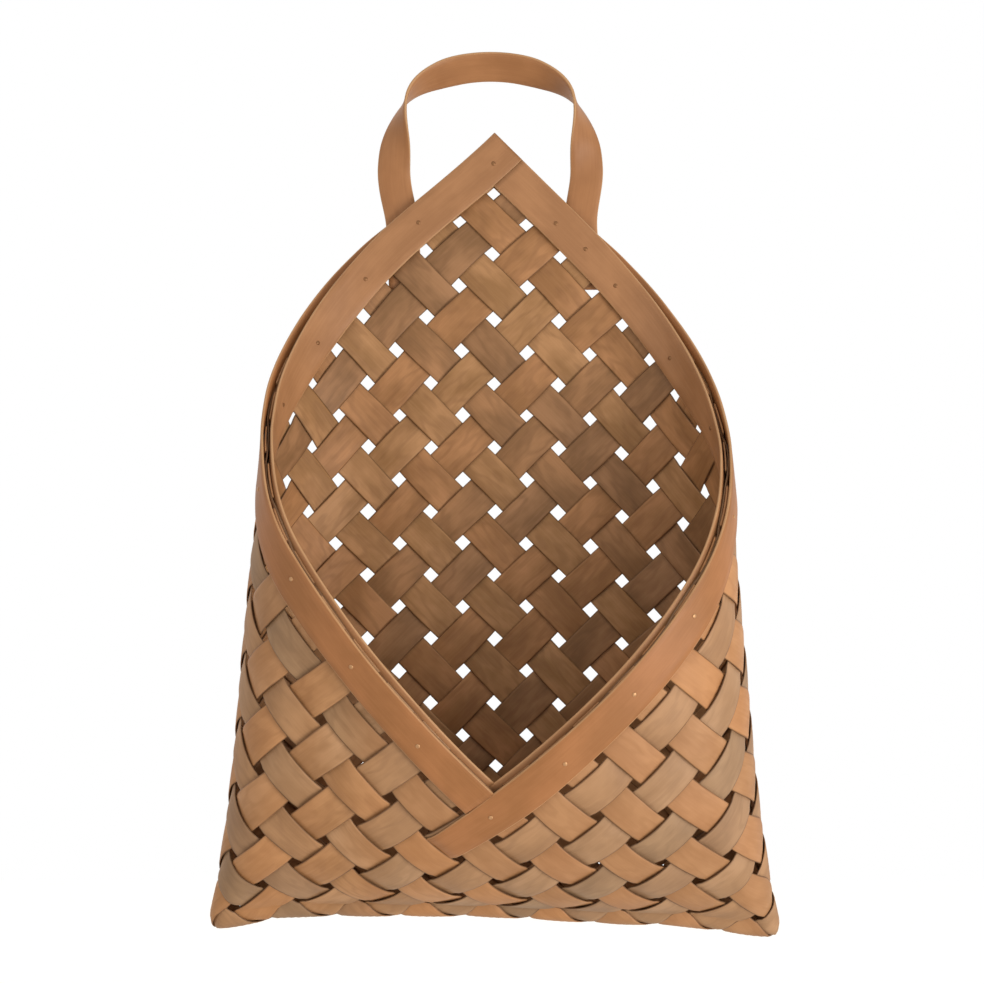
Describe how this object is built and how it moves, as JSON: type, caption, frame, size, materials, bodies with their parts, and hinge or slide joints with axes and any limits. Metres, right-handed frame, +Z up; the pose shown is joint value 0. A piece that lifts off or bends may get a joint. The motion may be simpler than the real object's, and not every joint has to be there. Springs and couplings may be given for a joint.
{
  "type": "hanging envelope basket",
  "caption": "Flat wall basket of wide wood splints plaited on the bias, folded into a pouch with a pointed back, crossed rim bands and a bent splint handle to hang it by.",
  "frame": {"origin": "hanging point: the top of the handle's middle line, where a hook carries the basket", "axes": "+Z up, -Y out of the wall towards the user, +X to the user's right"},
  "size_m": [0.3234, 0.1226, 0.5069],
  "materials": {
    "left_splints": "stained matt veneer splint",
    "right_splints": "stained matt veneer splint",
    "rim_bands": "stained satin wood band",
    "handle": "stained satin wood splint"
  },
  "bodies": {
    "root": {"left_long_splint_1": "left_splints", "left_long_splint_2": "left_splints", "left_long_splint_3": "left_splints", "left_long_splint_4": "left_splints", "left_long_splint_5": "left_splints", "left_long_splint_6": "left_splints", "left_long_splint_7": "left_splints", "left_long_splint_8": "left_splints", "left_short_splint_1": "left_splints", "right_long_splint_1": "right_splints", "right_long_splint_2": "right_splints", "right_long_splint_3": "right_splints", "right_long_splint_4": "right_splints", "right_long_splint_5": "right_splints", "right_long_splint_6": "right_splints", "right_long_splint_7": "right_splints", "right_long_splint_8": "right_splints", "right_short_splint_1": "right_splints", "left_inner_band": "rim_bands", "right_inner_band": "rim_bands", "left_outer_band": "rim_bands", "right_outer_band": "rim_bands", "handle": "handle"}
  },
  "joints": []
}
